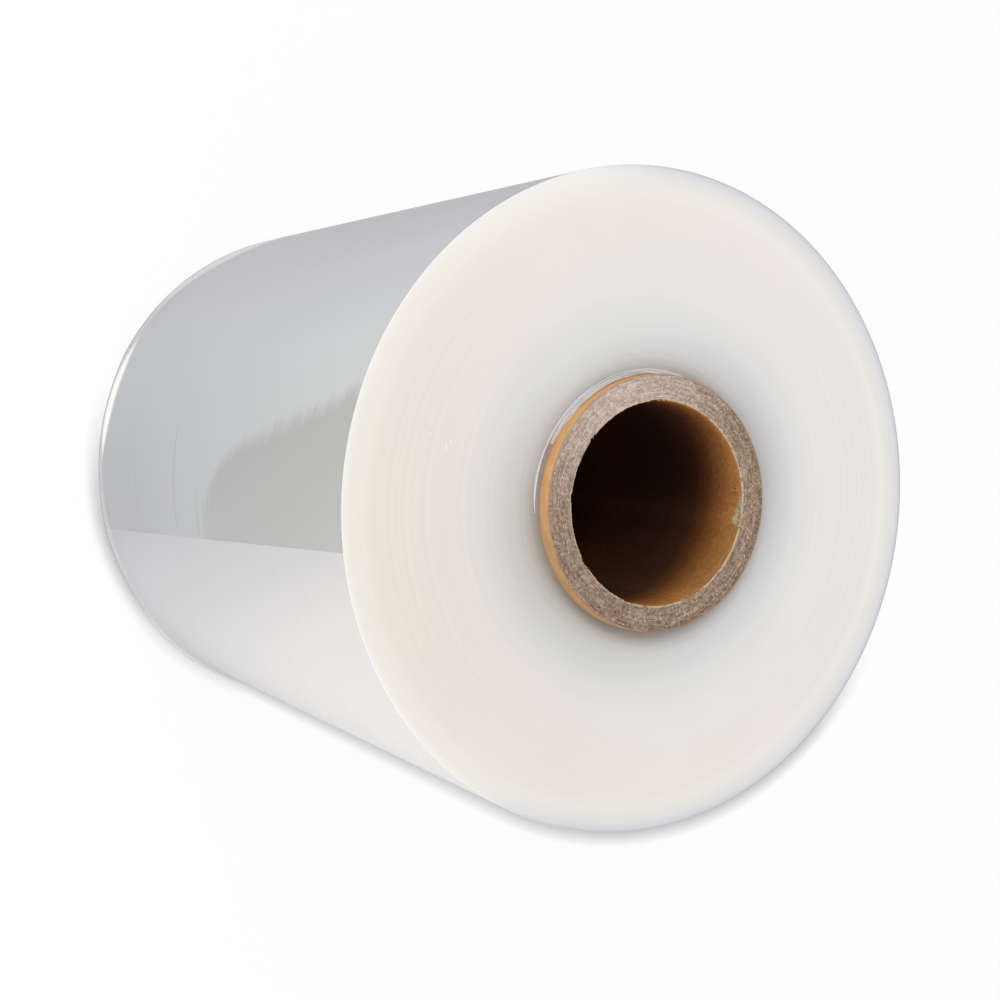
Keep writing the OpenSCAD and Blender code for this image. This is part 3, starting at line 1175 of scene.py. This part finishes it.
FIBRES = mottled("torn fibres", FIBRE_RAMP, 900, {"Roughness": 0.9, "Specular IOR Level": 0.2})
for number, (place, spread, count) in enumerate(TORN_PLACES):
    torn = slivers(
        f"torn_fibres_{number}", FIBRES, count, place, spread, seed=11 * number + 5,
        Radius=BORE + 0.45 * MM, Radius_Spread=0.7 * MM, Level=CORE_TOP - 1.2 * MM, Level_Spread=1.3 * MM,
        Length=1.3 * MM, Width=0.5 * MM, Thickness=0.16 * MM, Heading=math.pi / 2, Disorder=0.7, Lean=0.2,
    )
    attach(torn, "root")

flake = slivers(
    "kraft_flake", CORE, count=7, place_deg=102, spread_deg=5, seed=4,
    Radius=BORE - 0.25 * MM, Radius_Spread=0.3 * MM, Level=CORE_TOP - 3.6 * MM, Level_Spread=2.0 * MM,
    Length=1.8 * MM, Width=0.9 * MM, Thickness=0.25 * MM, Heading=math.pi / 2, Disorder=0.5, Lean=0.3,
)
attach(flake, "root")

# %% [markdown]
# Round the core stands a thin sleeve of clear film: the first turns, which climbed out of the roll as
# it was wound. It flares away from the core on one side and dives back under the face on the other.

# %% Clear film material
WRINKLES = (5.0, 2500, 3)
CLEAR_RAMP = [(0.0, 228, 230, 234), (1.0, 249, 250, 252)]


def clear_film_look(tree):
    wrinkles = wound_noise(tree, *WRINKLES)
    return {
        "Base Color": ramp_of(wrinkles, *MID_NOISE, CLEAR_RAMP),
        "Roughness": range_of(wrinkles, *NOISE, 0.12, 0.26),
        "IOR": FILM_IOR,
        "Alpha": range_of(wrinkles, *MID_NOISE, 0.5, 0.85),
        "Normal": bump_of(wrinkles, 0.3, 0.2 * MM),
    }


CLEAR_FILM = new_material("clear film", clear_film_look)

# %% [markdown]
# Two sleeves make up the collar: a thin one that flares away, and a thicker one between it and the
# core, which is several turns. Both stand for part of the way round. Each is revolved as a whole ring
# and then pulled down where it dives, so that the mesh stays closed.

# %% Collar of clear film
ROOT = 0.5 * MM
BEVEL_DOWN = 0.1 * MM
BEVEL_IN = 0.06 * MM
# Where a sleeve has dived: how far its top is pulled in, and all of it down
DIVE_IN = 1.2 * MM
DIVE_DOWN = 0.4 * MM


def standing(angle_deg, start, length, soft):
    """1 where the sleeve stands, 0 where it has dived under the face, with a soft change."""
    into = (angle_deg - start) % 360
    t = min(1.0, max(0.0, into / soft), max(0.0, (length - into) / soft))
    return t * t * (3 - 2 * t)


def collar_sleeve(name, inner, outer, rise, start, length, soft, ripples, closes=0.0):
    """A ring of film turns beside the core that stands over the face part of the way round."""
    inner, outer = CORE_OUT + inner, CORE_OUT + outer
    ground, top = FACE_UP - ROOT, FACE_UP + rise
    outline = [
        (inner, ground), (inner, top - BEVEL_DOWN), (inner + BEVEL_IN, top), ((inner + outer) / 2, top),
        (outer - BEVEL_IN, top), (outer, top - BEVEL_DOWN), (outer, ground),
    ]
    made = revolve(name, outline, CLEAR_FILM, steps=240)
    for vertex in made.data.vertices:
        x, y, z = vertex.co
        radius, angle = math.hypot(x, y), math.atan2(y, x)
        up = standing(math.degrees(angle), start, length, soft)
        over = max(0.0, (z - FACE_UP) / rise)
        ripple = noise.noise(Vector((math.cos(angle) * 4, math.sin(angle) * 4, rise / MM)))
        from_start = 1 - min(1.0, ((math.degrees(angle) - start) % 360) / length)
        radius += (ripple * ripples - (1 - up) * DIVE_IN) * over - closes * from_start
        z = min(z, FACE_UP) - DIVE_DOWN * (1 - up) + max(0.0, z - FACE_UP) * up
        vertex.co = (radius * math.cos(angle), radius * math.sin(angle), z)
    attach(made, "root")


# Distances of the two walls from the core, rise, start, length and softness in degrees, ripples, closing
collar_sleeve("collar_outer", 2.6 * MM, 2.75 * MM, 1.5 * MM, 165, 125, 34, 0.3 * MM, 0.75 * MM)
collar_sleeve("collar_inner", 0.2 * MM, 1.95 * MM, 2.0 * MM, 160, 98, 32, 0.1 * MM)

# %% [markdown]
# A few nicks in the face catch the light as short pale ticks. They are slivers too, laid flat along
# the radius, in film that is white because it has been stretched.

# %% Nicks in the wound face
NICK_RAMP = [(0.0, 246, 244, 240), (1.0, 254, 253, 252)]
PALE_NICK = mottled("stretched film", NICK_RAMP, 800, {"Roughness": 0.35, "IOR": FILM_IOR})
# Place in degrees, radius, how many
NICKS = [(-100, 95 * MM, 2), (-98.5, 87.5 * MM, 4), (-98.6, 82.5 * MM, 1)]
for number, (place, radius, count) in enumerate(NICKS):
    nick = slivers(
        f"face_nicks_{number}", PALE_NICK, count, place, spread_deg=3, seed=7 * number + 3,
        Radius=radius, Radius_Spread=2 * MM, Level=FACE_UP + 0.08 * MM, Level_Spread=0.04 * MM,
        Length=2.4 * MM, Width=0.45 * MM, Thickness=0.16 * MM, Heading=math.pi * 0.48, Disorder=0.12,
    )
    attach(nick, "root")
